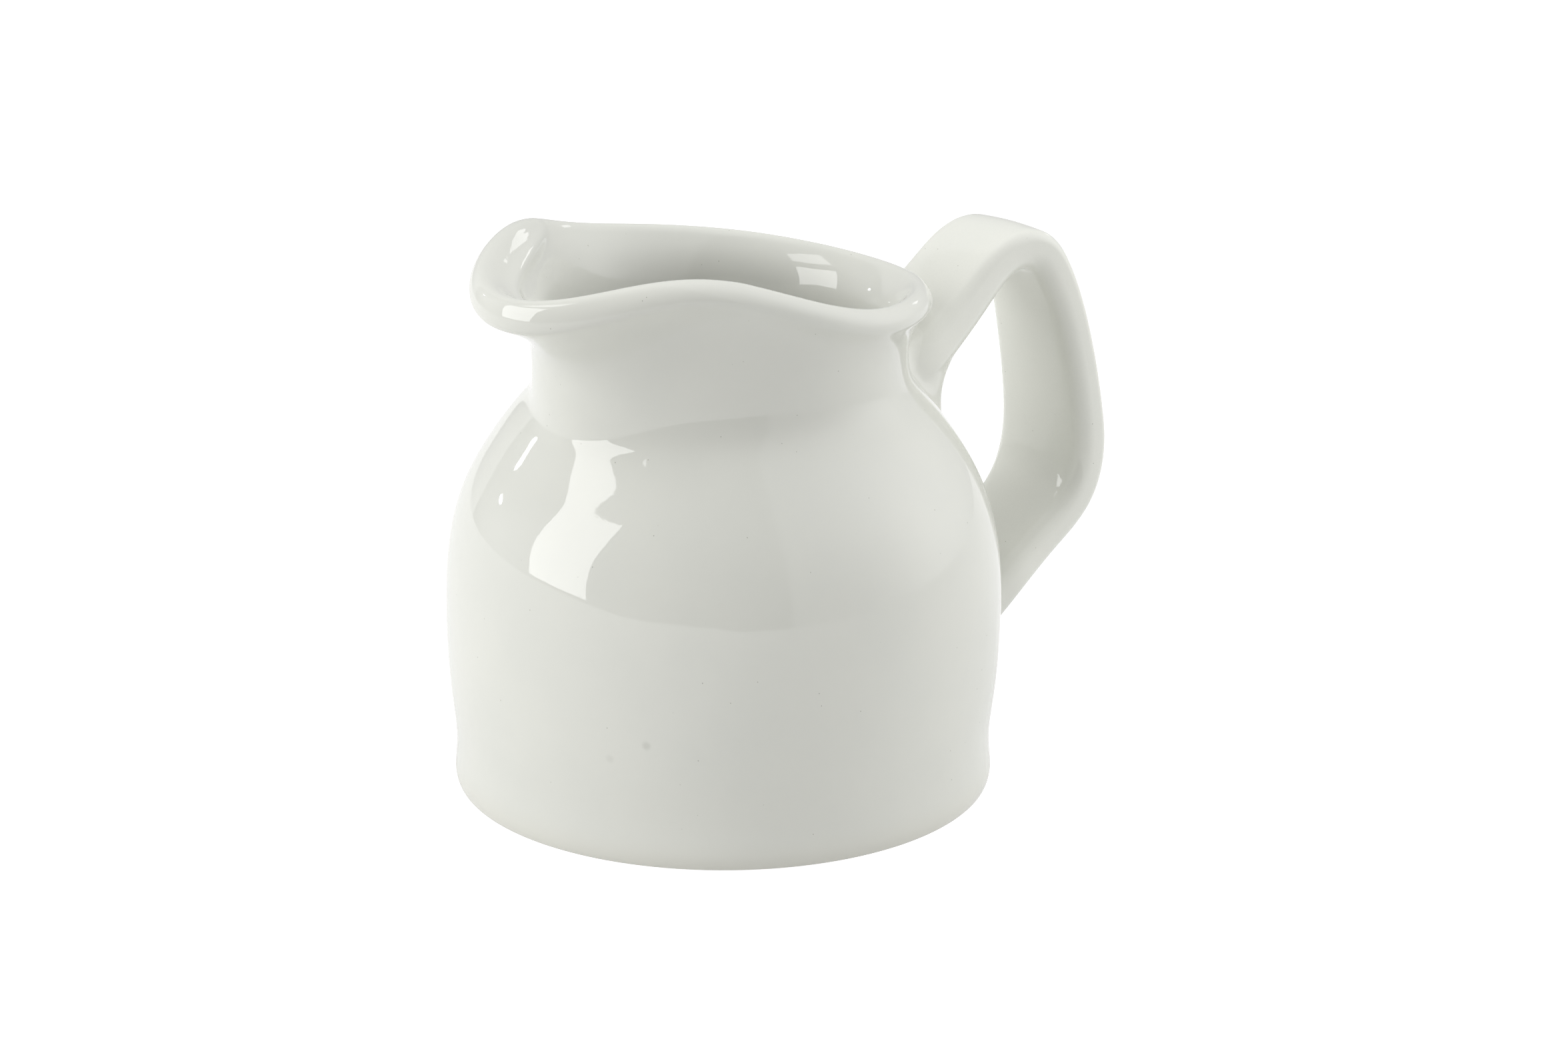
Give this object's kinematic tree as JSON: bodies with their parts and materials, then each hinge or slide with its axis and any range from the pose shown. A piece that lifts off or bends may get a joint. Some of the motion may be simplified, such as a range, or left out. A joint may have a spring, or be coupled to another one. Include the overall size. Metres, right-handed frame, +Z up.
{
  "type": "ceramic pitcher",
  "caption": "Small glazed porcelain pitcher with a round thick-walled body, a wavy rim with a broad pouring lip, and a flat strap handle luted to the neck and belly.",
  "frame": {"origin": "on the surface that the foot stands on, under the middle of the overall length from the tip of the pouring lip to the back of the handle, and in the plane of symmetry", "axes": "+Z up out of the mouth, +X towards the handle, -X towards the pouring lip, +Y across the pitcher"},
  "size_m": [0.1092, 0.08, 0.0819],
  "materials": {
    "body_glaze": "polished",
    "handle_glaze": "polished",
    "slip_glaze": "polished"
  },
  "bodies": {
    "root": {"jug_body": "body_glaze", "handle": "handle_glaze", "upper_handle_joint": "slip_glaze", "lower_handle_joint": "slip_glaze"}
  },
  "joints": []
}
